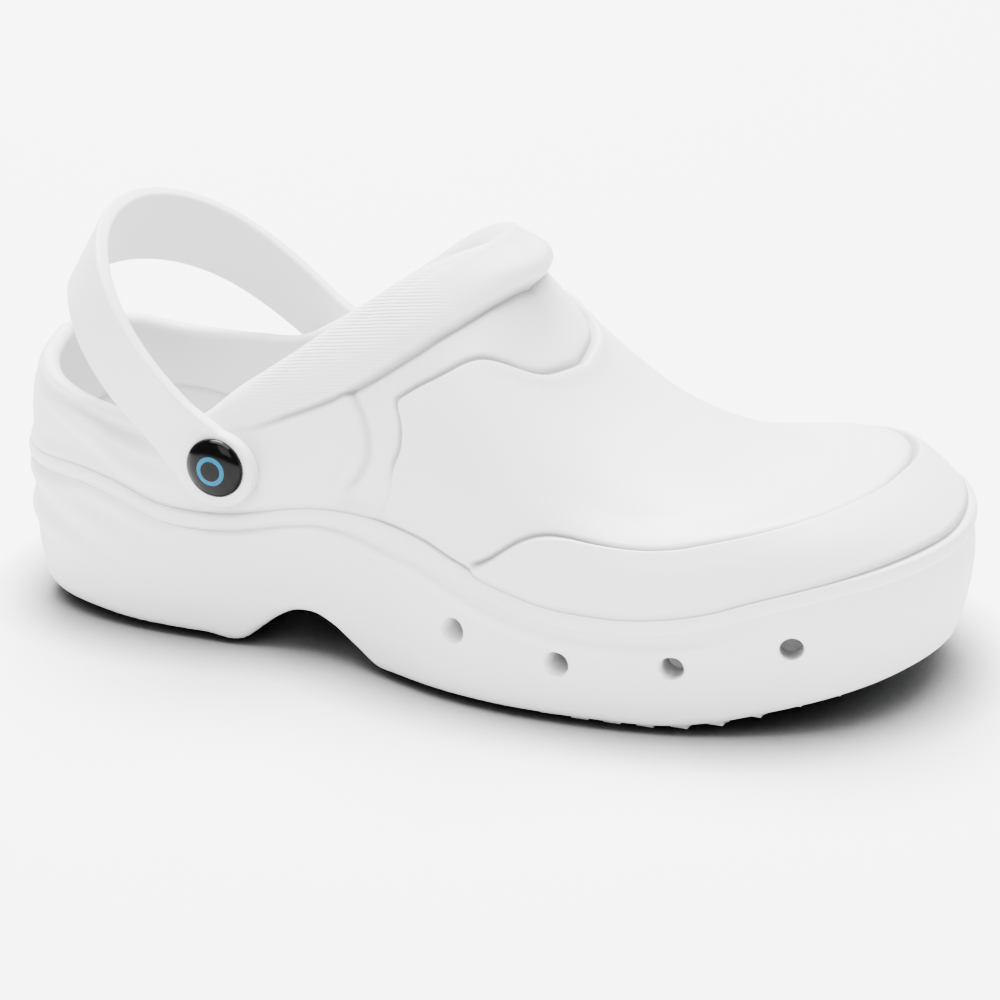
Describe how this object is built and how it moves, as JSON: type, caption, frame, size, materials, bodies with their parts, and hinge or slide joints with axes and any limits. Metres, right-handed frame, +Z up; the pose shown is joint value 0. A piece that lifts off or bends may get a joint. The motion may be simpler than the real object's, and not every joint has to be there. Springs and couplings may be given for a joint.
{
  "type": "chef clog",
  "caption": "Right-foot chef clog: moulded hollow upper with an open collar, deep cup sole with arch and lugs, insole, and a heel strap raised on side buttons.",
  "frame": {"origin": "on the ground, at the middle of the shoe's bounding box in X and Y", "axes": "+X from heel to toe, +Y to the inner side of the right foot, +Z up; the shoe stands empty on its heel and forefoot lugs at Z 0"},
  "size_m": [0.2862, 0.1124, 0.1191],
  "materials": {
    "white_sole": "satin",
    "white_upper": "satin",
    "white_insole": "matte",
    "white_strap": "satin",
    "button_outer": "gloss",
    "button_inner": "gloss"
  },
  "bodies": {
    "root": {"sole": "white_sole", "upper": "white_upper", "insole": "white_insole", "heel_strap": "white_strap", "rivet_outer": "button_outer", "rivet_inner": "button_inner"}
  },
  "joints": []
}
